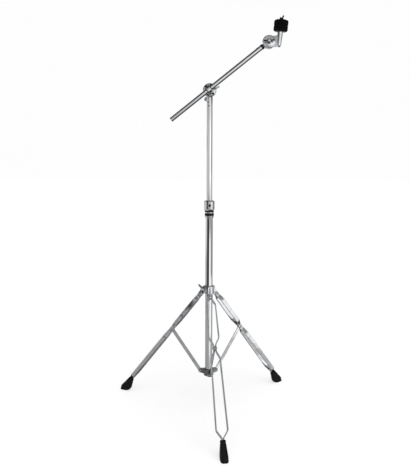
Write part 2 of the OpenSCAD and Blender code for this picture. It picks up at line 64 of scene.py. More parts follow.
head_t, head_p, rod_dx, seat_z = boom_hi + 28.5, -1.25, 32.1, 32.6
nut_z = seat_z + 2 * felt_h + 0.6
cl_bolt = clamp_z - 15
lock_z, lock_ang = piv_hi + 25, front_ang - 60


# ---- frames -------------------------------------------------------------------
def T(x, y, z):
    return Matrix.Translation((x, y, z))


def RX(a):
    return Matrix.Rotation(rad(a), 4, "X")


def RY(a):
    return Matrix.Rotation(rad(a), 4, "Y")


def RZ(a):
    return Matrix.Rotation(rad(a), 4, "Z")


def at_leg(i):
    return RZ(leg_angs[i])


def down_leg(i):
    return at_leg(i) @ T(pivot_r, 0, piv_hi) @ RY(90 - leg_th)


def up_brace(i):
    return at_leg(i) @ T(pivot_r, 0, piv_lo) @ RY(leg_th - 90)


I4 = Matrix.Identity(4)
AT_TILT = T(0, 0, tilt_z) @ RZ(-swing)
ALONG = AT_TILT @ T(0, boom_y, 0) @ RY(-elev)
AT_HEAD = ALONG @ T(head_t, 0, head_p) @ RY(elev)
AT_ROD = AT_HEAD @ T(rod_dx, 0, 0) @ RY(lean)
BACK = RX(-90)


# ---- materials ------------------------------------------------------------------
def links_of(nt):
    return nt.nodes, nt.links


def base_material(name):
    m = bpy.data.materials.new(name)
    m.use_nodes = True
    nt = m.node_tree
    return m, nt, nt.nodes["Principled BSDF"]


def coords(nt, scale):
    tc = nt.nodes.new("ShaderNodeTexCoord")
    mp = nt.nodes.new("ShaderNodeMapping")
    mp.inputs["Scale"].default_value = scale
    nt.links.new(tc.outputs["Object"], mp.inputs["Vector"])
    return mp.outputs["Vector"]


def noise_tex(nt, vec, scale, detail=4.0, rough=0.55, distort=0.0):
    n = nt.nodes.new("ShaderNodeTexNoise")
    n.inputs["Scale"].default_value = scale
    n.inputs["Detail"].default_value = detail
    n.inputs["Roughness"].default_value = rough
    n.inputs["Distortion"].default_value = distort
    nt.links.new(vec, n.inputs["Vector"])
    return n.outputs["Fac"]


def ramp(nt, fac, stops):
    r = nt.nodes.new("ShaderNodeValToRGB")
    els = r.color_ramp.elements
    while len(els) < len(stops):
        els.new(0.5)
    for e, (p, c) in zip(els, stops):
        e.position = p
        e.color = (c, c, c, 1) if isinstance(c, (int, float)) else (*c, 1)
    nt.links.new(fac, r.inputs["Fac"])
    return r.outputs["Color"]


def map_range(nt, fac, a, b, lo, hi):
    n = nt.nodes.new("ShaderNodeMapRange")
    n.inputs["From Min"].default_value = a
    n.inputs["From Max"].default_value = b
    n.inputs["To Min"].default_value = lo
    n.inputs["To Max"].default_value = hi
    nt.links.new(fac, n.inputs["Value"])
    return n.outputs["Result"]


def bump(nt, height, strength, distance, normal=None):
    n = nt.nodes.new("ShaderNodeBump")
    n.inputs["Strength"].default_value = strength
    n.inputs["Distance"].default_value = distance
    nt.links.new(height, n.inputs["Height"])
    if normal is not None:
        nt.links.new(normal, n.inputs["Normal"])
    return n.outputs["Normal"]


def metal(name, dark, light, r_lo, r_hi, streak=(1, 1, 1), grain=0.10, haze=18.0, wave=0.0):
    """Plated or polished metal: cloudy plating tone, polishing streaks in gloss and relief, a few fine scuffs."""
    m, nt, b = base_material(name)
    b.inputs["Metallic"].default_value = 1.0
    flat = coords(nt, (1, 1, 1))
    fine = coords(nt, streak)
    cloud = noise_tex(nt, flat, haze, 3.0)
    nt.links.new(ramp(nt, cloud, [(0.30, dark), (0.70, light)]), b.inputs["Base Color"])
    polish = noise_tex(nt, fine, 900.0, 3.0, 0.6)
    scuff = noise_tex(nt, flat, 140.0, 5.0, 0.7, 1.2)
    mix = nt.nodes.new("ShaderNodeMath")
    mix.operation = "MULTIPLY"
    nt.links.new(polish, mix.inputs[0])
    nt.links.new(scuff, mix.inputs[1])
    nt.links.new(map_range(nt, mix.outputs[0], 0.12, 0.42, r_lo, r_hi), b.inputs["Roughness"])
    wavy = None
    if wave > 0:
        wavy = bump(nt, noise_tex(nt, flat, 38.0, 1.5, 0.45, 0.4), wave, 0.0008)
    nt.links.new(bump(nt, polish, grain, 0.00002, wavy), b.inputs["Normal"])
    return m


def rubber_mat(name):
    m, nt, b = base_material(name)
    v = coords(nt, (1, 1, 1))
    cloud = noise_tex(nt, v, 60.0, 5.0, 0.6)
    nt.links.new(ramp(nt, cloud, [(0.25, (0.0022, 0.0022, 0.0025)), (0.75, (0.0075, 0.0075, 0.0078))]), b.inputs["Base Color"])
    nt.links.new(map_range(nt, cloud, 0.3, 0.7, 0.46, 0.66), b.inputs["Roughness"])
    grain = noise_tex(nt, v, 1500.0, 3.0)
    soft = noise_tex(nt, v, 240.0, 2.0)
    n1 = bump(nt, soft, 0.12, 0.0003)
    nt.links.new(bump(nt, grain, 0.25, 0.00006, n1), b.inputs["Normal"])
    b.inputs["Specular IOR Level"].default_value = 0.22
    return m


def felt_mat(name):
    m, nt, b = base_material(name)
    v = coords(nt, (1, 1, 1))
    tuft = noise_tex(nt, v, 420.0, 6.0, 0.72, 1.6)
    nt.links.new(ramp(nt, tuft, [(0.30, (0.0012, 0.0012, 0.0014)), (0.72, (0.0062, 0.006, 0.006))]), b.inputs["Base Color"])
    b.inputs["Roughness"].default_value = 0.96
    b.inputs["Specular IOR Level"].default_value = 0.06
    b.inputs["Sheen Weight"].default_value = 0.02
    b.inputs["Sheen Roughness"].default_value = 0.5
    fibre = noise_tex(nt, coords(nt, (1, 1, 2.2)), 1300.0, 4.0, 0.7, 2.5)
    n1 = bump(nt, tuft, 0.5, 0.0005)
    nt.links.new(bump(nt, fibre, 0.6, 0.00015, n1), b.inputs["Normal"])
    return m


def nylon_mat(name, dark, light):
    m, nt, b = base_material(name)
    v = coords(nt, (1, 1, 1))
    cloud = noise_tex(nt, v, 90.0, 4.0)
    nt.links.new(ramp(nt, cloud, [(0.3, dark), (0.7, light)]), b.inputs["Base Color"])
    nt.links.new(map_range(nt, cloud, 0.3, 0.7, 0.34, 0.5), b.inputs["Roughness"])
    nt.links.new(bump(nt, noise_tex(nt, v, 1100.0, 2.0), 0.1, 0.00004), b.inputs["Normal"])
    return m


TUBE = metal("chrome_tube", (0.74, 0.75, 0.77), (0.83, 0.84, 0.86), 0.03, 0.09, (1, 1, 0.02), 0.05, 9.0)
CAST = metal("chrome_cast", (0.68, 0.69, 0.71), (0.83, 0.84, 0.86), 0.05, 0.13, (1, 1, 1), 0.10, 45.0, 0.12)
STRIP = metal("chrome_strip", (0.66, 0.67, 0.69), (0.84, 0.85, 0.87), 0.05, 0.13, (1, 1, 0.1), 0.08, 30.0, 0.35)
# Darker copy of the chrome for the lower collar: painted shade and painted dark reflection, not a plating of its own.
CHROME_PAINTED_SHADE = metal("chrome_with_painted_shade", (0.15, 0.155, 0.165), (0.30, 0.305, 0.315), 0.10, 0.24, (1, 1, 1), 0.12, 70.0, 0.25)
STEEL = metal("plated_steel", (0.50, 0.51, 0.53), (0.68, 0.69, 0.71), 0.18, 0.36, (1, 1, 1), 0.15, 80.0)
# Darker copy of the chrome for the holder wing bolt and the top wing nut: painted shade.
CHROME_PAINTED_DARK = metal("chrome_with_painted_dark_shade", (0.030, 0.030, 0.033), (0.095, 0.095, 0.10), 0.16, 0.30, (1, 1, 1), 0.12, 70.0)
OXIDE = metal("black_oxide", (0.030, 0.030, 0.034), (0.075, 0.075, 0.08), 0.28, 0.45, (1, 1, 1), 0.15, 90.0)
BRASS = metal("brass_pad", (0.55, 0.41, 0.16), (0.72, 0.56, 0.26), 0.20, 0.38, (1, 1, 1), 0.12, 60.0)
RUBBER = rubber_mat("boot_rubber")
FELT = felt_mat("wool_felt")
NYLON = nylon_mat("black_nylon", (0.012, 0.012, 0.013), (0.032, 0.032, 0.034))


# ---- mesh helpers -----------------------------------------------------------------
def fillet(pts, d, n=3, loop=True):
    """Rounds the corners of a line of 2-D points by the distance d, or one distance per corner."""
    out = []
    k = len(pts)
    for i, p in enumerate(pts):
        di = d[i] if isinstance(d, (list, tuple)) else d
        if di <= 0 or (not loop and i in (0, k - 1)):
            out.append(tuple(p))
            continue
        a, b, c = Vector(pts[i - 1]), Vector(p), Vector(pts[(i + 1) % k])
        la, lc = (a - b).length, (c - b).length
        q = min(di, la * 0.48, lc * 0.48)
        s, e = b + (a - b) * (q / la), b + (c - b) * (q / lc)
        for j in range(n + 1):
            t = j / n
            out.append(tuple(s * (1 - t) ** 2 + b * (2 * t * (1 - t)) + e * t * t))
    return out


def lathe(prof, segs=72, bm=None, M=I4):
    """Turned shape about Z from (radius, z) points. A point with no radius is a pole; with none, the profile is a closed ring."""
    bm = bm or bmesh.new()
    rings = []
    for r, z in prof:
        if r < 1e-6:
            rings.append([bm.verts.new(M @ Vector((0, 0, z)))])
        else:
            rings.append([bm.verts.new(M @ Vector((r * math.cos(2 * math.pi * k / segs), r * math.sin(2 * math.pi * k / segs), z))) for k in range(segs)])
    pairs = list(zip(rings, rings[1:]))
    if len(rings[0]) > 1 and len(rings[-1]) > 1:
        pairs.append((rings[-1], rings[0]))
    for a, b in pairs:
        for k in range(segs):
            j = (k + 1) % segs
            if len(a) == 1 and len(b) == 1:
                continue
            if len(a) == 1:
                bm.faces.new((a[0], b[k], b[j]))
            elif len(b) == 1:
                bm.faces.new((a[k], a[j], b[0]))
            else:
                bm.faces.new((a[k], a[j], b[j], b[k]))
    return bm


def loft(rings, bm=None, cap=True):
    """Skin over rings of equal point counts, closed at both ends."""
    bm = bm or bmesh.new()
    vs = [[bm.verts.new(p) for p in ring] for ring in rings]
    n = len(vs[0])
    for a, b in zip(vs, vs[1:]):
        for k in range(n):
            j = (k + 1) % n
            bm.faces.new((a[k], a[j], b[j], b[k]))
    if cap:
        bm.faces.new(list(reversed(vs[0])))
        bm.faces.new(vs[-1])
    return bm


def slab(outline, t, bm=None, M=I4):
    """Outline in X and Z, t thick along Y, centred."""
    bm = bm or bmesh.new()
    a = [bm.verts.new(M @ Vector((x, -t / 2, z))) for x, z in outline]
    b = [bm.verts.new(M @ Vector((x, t / 2, z))) for x, z in outline]
    n = len(a)
    bm.faces.new(a)
    bm.faces.new(list(reversed(b)))
    for k in range(n):
        j = (k + 1) % n
        bm.faces.new((a[k], b[k], b[j], a[j]))
    return bm


def true_normals(ob):
    """Lets the large faces keep their own normals, so that only the rounded edges shade as round."""
    w = ob.modifiers.new("w", "WEIGHTED_NORMAL")
    w.mode = "FACE_AREA"
    w.weight = 100
    w.keep_sharp = True
    me = bpy.data.meshes.new_from_object(ob.evaluated_get(bpy.context.evaluated_depsgraph_get()))
    ob.modifiers.clear()
    old, ob.data = ob.data, me
    name = old.name
    bpy.data.meshes.remove(old)
    me.name = name


def piece(name, source, M, body, mat, slot, *replaced, angle=38):
    """Makes a piece from a mesh or bmesh in millimetres, in the frame M, and rides it on its body."""
    if isinstance(source, bpy.types.Mesh):
        me = source
        me.name = name
    else:
        bmesh.ops.recalc_face_normals(source, faces=source.faces)
        me = bpy.data.meshes.new(name)
        source.to_mesh(me)
        source.free()
    me.transform(M if M is None else Matrix.Scale(MM, 4) @ M)
    me.materials.clear()
    me.materials.append(mat)
    me.shade_smooth()
    me.set_sharp_from_angle(angle=rad(angle))
    ob = bpy.data.objects.new(name, me)
    bpy.context.scene.collection.objects.link(ob)
    true_normals(ob)
    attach(ob, body)
    if replaced:
        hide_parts(*replaced)
    return ob


def fused(bm, voxel, passes, ratio):
    """Melts overlapping closed shells into one cast skin, in millimetres."""
    me = bpy.data.meshes.new("melt")
    bmesh.ops.recalc_face_normals(bm, faces=bm.faces)
    bm.to_mesh(me)
    bm.free()
    ob = bpy.data.objects.new("melt", me)
    bpy.context.scene.collection.objects.link(ob)
    r = ob.modifiers.new("r", "REMESH")
    r.mode = "VOXEL"
    r.voxel_size = voxel
    s = ob.modifiers.new("s", "SMOOTH")
    s.factor = 0.5
    s.iterations = passes
    d = ob.modifiers.new("d", "DECIMATE")
    d.ratio = ratio
    out = bpy.data.meshes.new_from_object(ob.evaluated_get(bpy.context.evaluated_depsgraph_get()))
    bpy.data.objects.remove(ob)
    return out


def casting(name, node, body, mat, slot, width=0.45, segs=2, angle=28):
    """A CAD casting with its arrises broken: the node's own shape with every sharp edge rounded."""
    bm = bmesh.new()
    bm.from_mesh(NODES[node].data)
    bmesh.ops.remove_doubles(bm, verts=bm.verts, dist=2e-6)
    bmesh.ops.dissolve_limit(bm, angle_limit=rad(0.4), verts=bm.verts, edges=bm.edges)
    sharp = [e for e in bm.edges if len(e.link_faces) == 2 and e.calc_face_angle(0) > rad(angle)]
    bmesh.ops.bevel(bm, geom=sharp, offset=width * MM, offset_type="OFFSET", segments=segs, profile=0.5, affect="EDGES", clamp_overlap=True)
    me = bpy.data.meshes.new(name)
    bm.to_mesh(me)
    bm.free()
    me.transform(Matrix.Scale(1 / MM, 4))
    return piece(name, me, I4, body, mat, slot, node, angle=50)


def thread(r, z0, z1, pitch=1.25, depth=0.7, segs=40, per=6, chamfer=0.9, bm=None, M=I4):
    """Screw thread about Z with both ends chamfered."""
    bm = bm or bmesh.new()
    steps = max(4, int((z1 - z0) / pitch * per))
    rings = []
    for i in range(steps + 1):
        z = z0 + (z1 - z0) * i / steps
        end = min(z - z0, z1 - z)
        lim = r - max(0.0, chamfer - end)
        ring = []
        for k in range(segs):
            a = 2 * math.pi * k / segs
            f = ((z / pitch) - k / segs) % 1.0
            tri = abs(2 * f - 1)
            rr = min(lim, r - depth * (1 - min(1.0, tri * 1.25)))
            ring.append(M @ Vector((rr * math.cos(a), rr * math.sin(a), z)))
        rings.append(ring)
    return loft(rings, bm)


# ---- tubes ------------------------------------------------------------------------
def tube(ro, ri, z0, z1, edge=0.5):
    return lathe(fillet([(ri, z0), (ro, z0), (ro, z1), (ri, z1)], edge, 4), 96)


piece("base_tube_skin", tube(base_r, base_ir, tube_z + 0.5, clamp_z - 29), I4, "stand_base", TUBE, "chrome", "base_tube")
piece("mast_tube_skin", tube(mast_r, mast_ir, mast_top - 560, mast_top), I4, "mast", TUBE, "chrome", "mast_tube")
piece("boom_tube_skin", tube(boom_r, boom_ir, -boom_lo, boom_hi, 0.6), ALONG @ RY(90), "boom", TUBE, "chrome", "boom_tube")
piece("tube_end_cap_skin", lathe(fillet([(0, tube_z - 2.5), (base_r - 0.1, tube_z - 2.5), (base_r - 0.1, tube_z + 0.45), (base_ir - 0.05, tube_z + 0.45), (base_ir - 0.05, tube_z + 14), (0, tube_z + 14)], 1.2, 4, False), 72),
      I4, "stand_base", NYLON, "nylon", "tube_end_cap")


# ---- legs and braces ----------------------------------------------------------------
def bar_ring(p, n, half_t, half_w, r):
    """Cross-section of a flat bar with rounded edges: along n (in the plane) and along Z."""
    r = min(r, half_t * 0.95, half_w * 0.95)
    ring = []
    for cu, cw, a0 in ((1, 1, 0), (-1, 1, 90), (-1, -1, 180), (1, -1, 270)):
        for k in range(5):
            a = rad(a0 + 22.5 * k)
            u = cu * (half_t - r) + r * math.cos(a)
            w = cw * (half_w - r) + r * math.sin(a)
            ring.append(Vector((p[0] + n[0] * u, p[1] + n[1] * u, w)))
    return ring


def bar(path, widths, t, r=1.25):
    """Flat bar of thickness t along a line in the X-Y plane; widths are its half widths along Z."""
    rings = []
    for i, p in enumerate(path):
        a, b = Vector(path[max(0, i - 1)]), Vector(path[min(len(path) - 1, i + 1)])
        d = (b - a).normalized()
        rings.append(bar_ring(p, (-d.y, d.x), t / 2, widths[i], r))
    return loft(rings)


def bezier_round(pts, d, n):
    return fillet(pts, d, n, False)


w_top = 2.5 + 0.3 + strip_t / 2
w_mid = 1.8 + strip_t / 2
w_end = 0.1 + strip_t / 2
LEG_LINE = bezier_round([(0, w_top), (10.5, w_top), (26, 14.6), (link - 34, 16.6), (link - 11, w_mid), (link + 12, w_mid),
                         (link + 34, 14.6), (leg_boot - 25, 17.6), (leg_boot - 3, w_end), (leg_end, w_end)], 4.6, 8)


def strip_mesh(side):
    hw = strip_w / 2
    eye = [(-hw * math.cos(rad(a)), w_top) for a in (5, 14, 24, 35, 47, 60, 75)]
    eye_w = [max(0.5, hw * math.sin(rad(a))) for a in (5, 14, 24, 35, 47, 60, 75)]
    line = eye + LEG_LINE
    width = eye_w + [hw] * len(LEG_LINE)
    return bar([(x, side * y) for x, y in line], width, strip_t)


def brace_mesh():
    hw = brace_w / 2
    ang = (5, 14, 24, 35, 47, 60, 75, 90)
    a = [(-hw * math.cos(rad(x)), 0) for x in ang]
    b = [(link + hw * math.cos(rad(x)), 0) for x in reversed(ang)]
    wa = [max(0.5, hw * math.sin(rad(x))) for x in ang]
    return bar(a + b, wa + list(reversed(wa)), brace_t, 1.0)


def dome_rivet(r, grip, hr, hh, bm=None, M=I4):
    """Rivet along Y: domed head, shank, domed head."""
    pts = [(0, -grip / 2 - hh)]
    pts += [(hr * math.sin(rad(a)), -grip / 2 - hh * math.cos(rad(a))) for a in range(12, 90, 12)]
    pts += [(hr, -grip / 2 - 0.15), (hr - 0.15, -grip / 2), (r, -grip / 2), (r, grip / 2), (hr - 0.15, grip / 2), (hr, grip / 2 + 0.15)]
    pts += [(hr * math.sin(rad(a)), grip / 2 + hh * math.cos(rad(a))) for a in range(84, 0, -12)]
    pts += [(0, grip / 2 + hh)]
    return lathe(pts, 40, bm, M @ RX(-90))


def superellipse(a, b, n, k):
    out = []
    for i in range(k):
        t = 2 * math.pi * (i + 0.5) / k
        c, s = math.cos(t), math.sin(t)
        out.append((math.copysign(abs(c) ** (2 / n), c) * a, math.copysign(abs(s) ** (2 / n), s) * b))
    return out


def catmull(keys, t):
    """Smooth value at t through keys of (t, tuple)."""
    i = 0
    while i < len(keys) - 2 and t > keys[i + 1][0]:
        i += 1
    t0, p0 = keys[i]
    t1, p1 = keys[i + 1]
    pm = keys[max(0, i - 1)]
    pn = keys[min(len(keys) - 1, i + 2)]
    f = (t - t0) / (t1 - t0)
    out = []
    for j in range(len(p0)):
        m0 = (p1[j] - pm[1][j]) / (t1 - pm[0]) * (t1 - t0) if i > 0 else p1[j] - p0[j]
        m1 = (pn[1][j] - p0[j]) / (pn[0] - t0) * (t1 - t0) if i < len(keys) - 2 else p1[j] - p0[j]
        out.append((2 * f ** 3 - 3 * f ** 2 + 1) * p0[j] + (f ** 3 - 2 * f ** 2 + f) * m0 + (-2 * f ** 3 + 3 * f ** 2) * p1[j] + (f ** 3 - f ** 2) * m1)
    return out


def boot_mesh():
    """Moulded foot: a lipped socket round the strips that spreads into a flat sole. X outwards, Y across, Z up."""
    nx, nz = math.cos(rad(leg_th)), math.sin(rad(leg_th))
    a0, a1, a2 = (foot_r - 9.2 * nx, foot_z - 9.2 * nz), (foot_r + 3.2, 9.0), (foot_r + 11, 0.0)
    b0, b1, b2 = (foot_r + 8.4 * nx + 1, foot_z + 8.4 * nz - 1), (foot_r + 43, 14.0), (foot_r + 46, 0.0)

    def mix(p, q, f):
        return (p[0] + (q[0] - p[0]) * f, p[1] + (q[1] - p[1]) * f)

    keys = []
    for t, a, b, hw in ((0.0, a0, b0, 8.2), (0.28, mix(a0, a1, 0.36), mix(b0, b1, 0.30), 9.2), (0.55, mix(a0, a1, 0.72), mix(b0, b1, 0.63), 10.7),
                        (0.78, mix(a1, a2, 0.08), mix(b0, b1, 0.97), 12.0), (0.92, mix(a1, a2, 0.62), mix(b1, b2, 0.62), 12.4), (1.0, a2, b2, 12.4)):
        keys.append((t, (a[0], a[1], b[0], b[1], hw)))

    def section(t, grow=0.0, shift=(0.0, 0.0), size=None, n=3.4):
        ax, az, bx, bz, hw = catmull(keys, t)
        cx, cz = (ax + bx) / 2, (az + bz) / 2
        dx, dz = (bx - ax) / 2, (bz - az) / 2
        half = math.hypot(dx, dz)
        ux, uz = dx / half, dz / half
        da, db = (half + grow, hw + grow) if size is None else size
        return [Vector((cx + shift[0] + ux * u, w, cz + shift[1] + uz * u)) for u, w in superellipse(da, db, n, 48)]

    down = (math.sin(rad(leg_th)), -math.cos(rad(leg_th)))
    rings = [section(0.0, size=(7.3, 0.3 + strip_t), shift=(down[0] * 4, down[1] * 4), n=8), section(0.0, size=(7.3, 0.3 + strip_t), shift=(down[0] * 0.6, down[1] * 0.6), n=8),
             section(0.0, -2.0), section(0.0, -1.0), section(0.008, -0.35), section(0.03), section(0.10, 0.1), section(0.125, -0.1), section(0.145, -0.75), section(0.165, -0.75), section(0.185, -0.2)]
    rings += [section(0.22 + 0.6 * k / 11) for k in range(12)]
    rings += [section(0.845, -0.1), section(0.86, -0.7), section(0.885, -0.7), section(0.90, -0.1), section(0.93)]
    last = section(0.985)
    for v in last:
        v.z = max(v.z, 0.55)
    flat = section(1.0, -0.7)
    rim = section(1.0, -3.2)
    pad = section(1.0, -4.0, shift=(0.0, 0.9))
    rings += [last, flat, rim, pad]
    return loft(rings)


for i, leg in enumerate(LEGS):
    body = leg + "_leg"
    for key, side in (("a", 1), ("b", -1)):
        piece(f"leg_{leg}_bar_{key}", strip_mesh(side), down_leg(i), body, STRIP, "chrome", f"leg_{leg}_strip_{key}", angle=50)
    bm = dome_rivet(3, 2 * w_top + strip_t, 5, 2.2)
    dome_rivet(3, 2 * w_mid + strip_t, 5, 2.2, bm, T(link, 0, 0))
    dome_rivet(2, 2 * w_end + strip_t - 0.1, 2.05, 0.05, bm, T(leg_end - 10, 0, 0))
    piece(f"leg_{leg}_pivots", bm, down_leg(i), body, STEEL, "steel", f"leg_{leg}_rivets")
    piece(f"leg_{leg}_foot", boot_mesh(), at_leg(i), body, RUBBER, "rubber", f"leg_{leg}_boot", angle=45)
    piece(f"brace_{leg}_bar", brace_mesh(), up_brace(i), leg + "_brace", STRIP, "chrome", f"brace_{leg}", angle=50)

bm = None
for i in range(3):
    bm = dome_rivet(3, 2 * 5.8, 5, 2.2, bm, at_leg(i) @ T(pivot_r, 0, piv_lo))
piece("brace_pivots", bm, I4, "stand_base", STEEL, "steel", "brace_pins")


# ---- wing nuts and bolts -----------------------------------------------------------
def on_line(pts, x):
    """Height at x of a line through points in order of x"""
    for (x0, z0), (x1, z1) in zip(pts, pts[1:]):
        if x <= x1:
            return z0 + (z1 - z0) * (x - x0) / (x1 - x0)
    return pts[-1][1]


def wing_head(hub_r, h, span, rise, t, bm=None, M=I4, second=180, balls=(1.0, 1.0)):
    """Cast wing head about Z: tapered hub, two swept wings with thick round tips, the second one turned from the first."""
    bm = bm or bmesh.new()
    lathe(fillet([(0, 0), (hub_r, 0), (hub_r * 0.88, h), (0, h)], [0, 0.8, 1.8, 0], 3, False), 48, bm, M)
    low = [(hub_r * 0.3, 0.6), (hub_r * 1.05, 0.6), (span * 0.74, rise * 0.36), (span, rise * 0.62)]
    top = [(hub_r * 0.3, h * 0.93), (span * 0.66, rise), (span * 0.96, rise), (span, rise * 0.92)]
    for s, ball in zip((0, second), balls):
        W = M @ RZ(s)
        rings = []
        for k in range(17):
            x = hub_r * 0.3 + (span * 0.99 - hub_r * 0.3) * k / 16
            lo, hi = on_line(low, x), on_line(top, x)
            half = max(0.8, (hi - lo) / 2)
            rings.append([W @ Vector((x, t * 0.46 * math.cos(2 * math.pi * j / 24), (lo + hi) / 2 + half * math.sin(2 * math.pi * j / 24))) for j in range(24)])
        loft(rings, bm)
        tip = Vector((span * 0.86, 0, rise * 0.76))
        rb, hb = min(t, span * 0.14) * 1.1 * min(ball, 1.2), t * 0.52 * ball
        lathe(fillet([(0, -hb), (rb, -hb), (rb, hb), (0, hb)], [0, rb * 0.45, rb * 0.45, 0], 4, False), 28, bm, W @ T(*tip) @ RX(90))
    return bm


def bolt_shank(r, z0, z1, bm, M=I4):
    return lathe(fillet([(0, z0), (r, z0), (r, z1), (0, z1)], [0, 0.6, 0.3, 0], 2, False), 40, bm, M)


LOCK = T(0, 0, lock_z) @ RZ(lock_ang) @ RY(90)
bm = wing_head(6.5, 10, 19, 15, 4, None, T(0, 0, base_r + 11) @ RZ(38))
bolt_shank(4, base_r + 0.4, base_r + 14, bm)
piece("collar_wing_bolt_cast", fused(bm, 0.42, 8, 0.4), LOCK, "collar_bolt", CAST, "chrome", "collar_wing_bolt", angle=60)

bm = wing_head(7.5, 12, 24, 18, 4.6, None, T(0, 0, 25.4) @ RZ(86))
bolt_shank(4, 15.9, 30, bm)
piece("clamp_wing_bolt_cast", fused(bm, 0.45, 8, 0.4), T(0, 0, cl_bolt) @ BACK, "clamp_bolt", CAST, "chrome", "clamp_wing_bolt", angle=60)

bm = wing_head(7.5, 12, 34, 15, 6, None, T(0, 0, 13.7) @ RZ(-28), 148, (0.8, 1.85))
piece("tilter_wing_nut_cast", fused(bm, 0.45, 8, 0.4), AT_TILT @ BACK, "tilter_nut", CAST, "chrome", "tilter_wing_nut", angle=60)

bm = wing_head(6, 13, 17, 17, 4, None, T(0, 0, 11.5) @ RZ(2))
bolt_shank(4, -8, 15, bm)
# The wing bolt's wings get the darkened chrome, painted shade, under a bright chrome cap.
piece("holder_wing_bolt_cast", fused(bm, 0.42, 8, 0.4), AT_HEAD @ BACK @ RX(180), "holder_bolt", CHROME_PAINTED_DARK, "chrome", "holder_wing_bolt", angle=60)
piece("holder_bolt_cap", lathe(fillet([(0, 24.2), (4.7, 24.2), (4.7, 25.2), (2.6, 26.4), (0, 26.6)], [0, 0.3, 0.6, 1.4, 0], 4, False), 48), AT_HEAD @ BACK @ RX(180), "holder_bolt", CAST, "chrome", angle=50)

bm = wing_head(6, 6.4, 13.5, 12, 4.6, None, T(0, 0, nut_z + 1.2) @ RZ(-70))
lathe(fillet([(0, nut_z), (8.6, nut_z), (8.6, nut_z + 1.8), (0, nut_z + 1.8)], [0, 0.4, 0.4, 0], 2, False), 48, bm)
# The top wing nut gets the darkened chrome too: painted shade.
piece("top_wing_nut_cast", fused(bm, 0.34, 6, 0.4), AT_ROD, "top_nut", CHROME_PAINTED_DARK, "chrome", "top_wing_nut", angle=60)


# ---- eye bolt and cymbal rod -----------------------------------------------------------
band = fillet([(boom_r + 1.35, -6.5), (11.8, -6.5), (12.3, -5.4), (12.3, 5.4), (11.8, 6.5), (boom_r + 1.35, 6.5)], 0.55, 3)
piece("eye_bolt_band", lathe(band, 80), ALONG @ RY(90), "tilter", CAST, "chrome", "eye_bolt")
piece("eye_bolt_thread", thread(4, boom_y + 10.6, boom_y + 55.5), AT_TILT @ BACK, "tilter", STEEL, "steel", "eye_bolt", angle=20)
piece("cymbal_rod_thread", thread(4, 6.2, nut_z + 6.6), AT_ROD, "holder", STEEL, "steel", "cymbal_rod", angle=20)


# ---- felts -----------------------------------------------------------------------------
def felt_mesh(z0, seed):
    """Pressed felt washer: full rounded rim, faintly layered side, nap raised by a little relief."""
    rr, ri = felt_d / 2, 6.3
    prof = [(ri, z0 + 0.6)]
    prof += [(ri + 0.6 + (rr - 3.6 - ri) * k / 14, z0 + 0.02) for k in range(15)]
    prof += [(rr - 3 + 3 * math.sin(rad(a)), z0 + 3 - 3 * math.cos(rad(a))) for a in range(9, 90, 9)]
    prof += [(rr - 0.02 - 0.10 * (1 - abs(math.sin(k * 1.9))), z0 + 3 + (felt_h - 6) * k / 14) for k in range(15)]
    prof += [(rr - 3 + 3 * math.cos(rad(a)), z0 + felt_h - 3 + 3 * math.sin(rad(a))) for a in range(9, 90, 9)]
    prof += [(rr - 3 - (rr - 3.6 - ri) * k / 14, z0 + felt_h - 0.02) for k in range(15)]
    prof += [(ri, z0 + felt_h - 0.6)]
    prof += [(ri, z0 + felt_h - 0.6 - (felt_h - 1.2) * k / 6) for k in range(1, 6)]
    bm = lathe(prof, 120)
    bmesh.ops.recalc_face_normals(bm, faces=bm.faces)
    bm.normal_update()
    off = Vector((seed * 7.3, seed * 3.1, seed * 5.7))
    for v in bm.verts:
        r = math.hypot(v.co.x, v.co.y)
        if r < ri + 1:
            continue
        h = 0.16 * noise.noise(v.co * 0.35 + off) + 0.12 * noise.noise(v.co * 1.1 + off) + 0.06 * noise.noise(v.co * 2.6 + off)
        v.co += v.normal * (h - 0.14)
    return bm


for name, body, node, z0, seed in (("lower_felt_pad", "holder", "lower_felt", seat_z, 1), ("upper_felt_pad", "felt_top", "upper_felt", seat_z + felt_h + 0.3, 2)):
    ob = piece(name, felt_mesh(z0, seed), AT_ROD, body, FELT, "felt", node, angle=60)


# ---- castings ---------------------------------------------------------------------------
casting("tilter_base_cast", "tilter_base", "mast", CAST, "chrome")
casting("tilter_saddle_cast", "tilter_saddle", "tilter", CAST, "chrome")
casting("boom_head_cast", "boom_head", "boom", CAST, "chrome")
casting("cymbal_holder_cast", "cymbal_holder", "holder", CAST, "chrome", 0.6)
casting("upper_collar_cast", "upper_collar", "leg_collar", CAST, "chrome", 0.6)
# The lower collar is chrome like the rest; its darker copy of the chrome is painted shade.
casting("lower_collar_cast", "lower_collar", "stand_base", CHROME_PAINTED_SHADE, "chrome", 0.6)
casting("clamp_cast", "clamp_casting", "stand_base", CAST, "chrome", 0.5)

# ---- nodes that keep their CAD shape -------------------------------------------------------
# tilter_pads: black rubber filling the tilter's pockets is painted shade, standing where the pockets would only be in
# shadow.
KEEP = {"lower_collar_pin": STEEL, "mast_rivets": OXIDE, "boom_head_rivet": STEEL, "tilter_washer": STEEL, "seat_washer": OXIDE, "clamp_ring": RUBBER, "tilter_pads": RUBBER, "clamp_bush": NYLON,
        "collar_liner": NYLON, "mast_glide": NYLON, "boom_liner": NYLON, "boom_end_plug": NYLON, "boom_tip_ring": RUBBER, "cymbal_sleeve": NYLON, "clamp_pad": BRASS, "clamp_screw": OXIDE}
for n, mat in KEEP.items():
    me = NODES[n].data
    me.materials.clear()
    me.materials.append(mat)
for n, o in NODES.items():
    if n not in KEEP:
        o.data.materials.clear()
        o.data.materials.append(CAST)

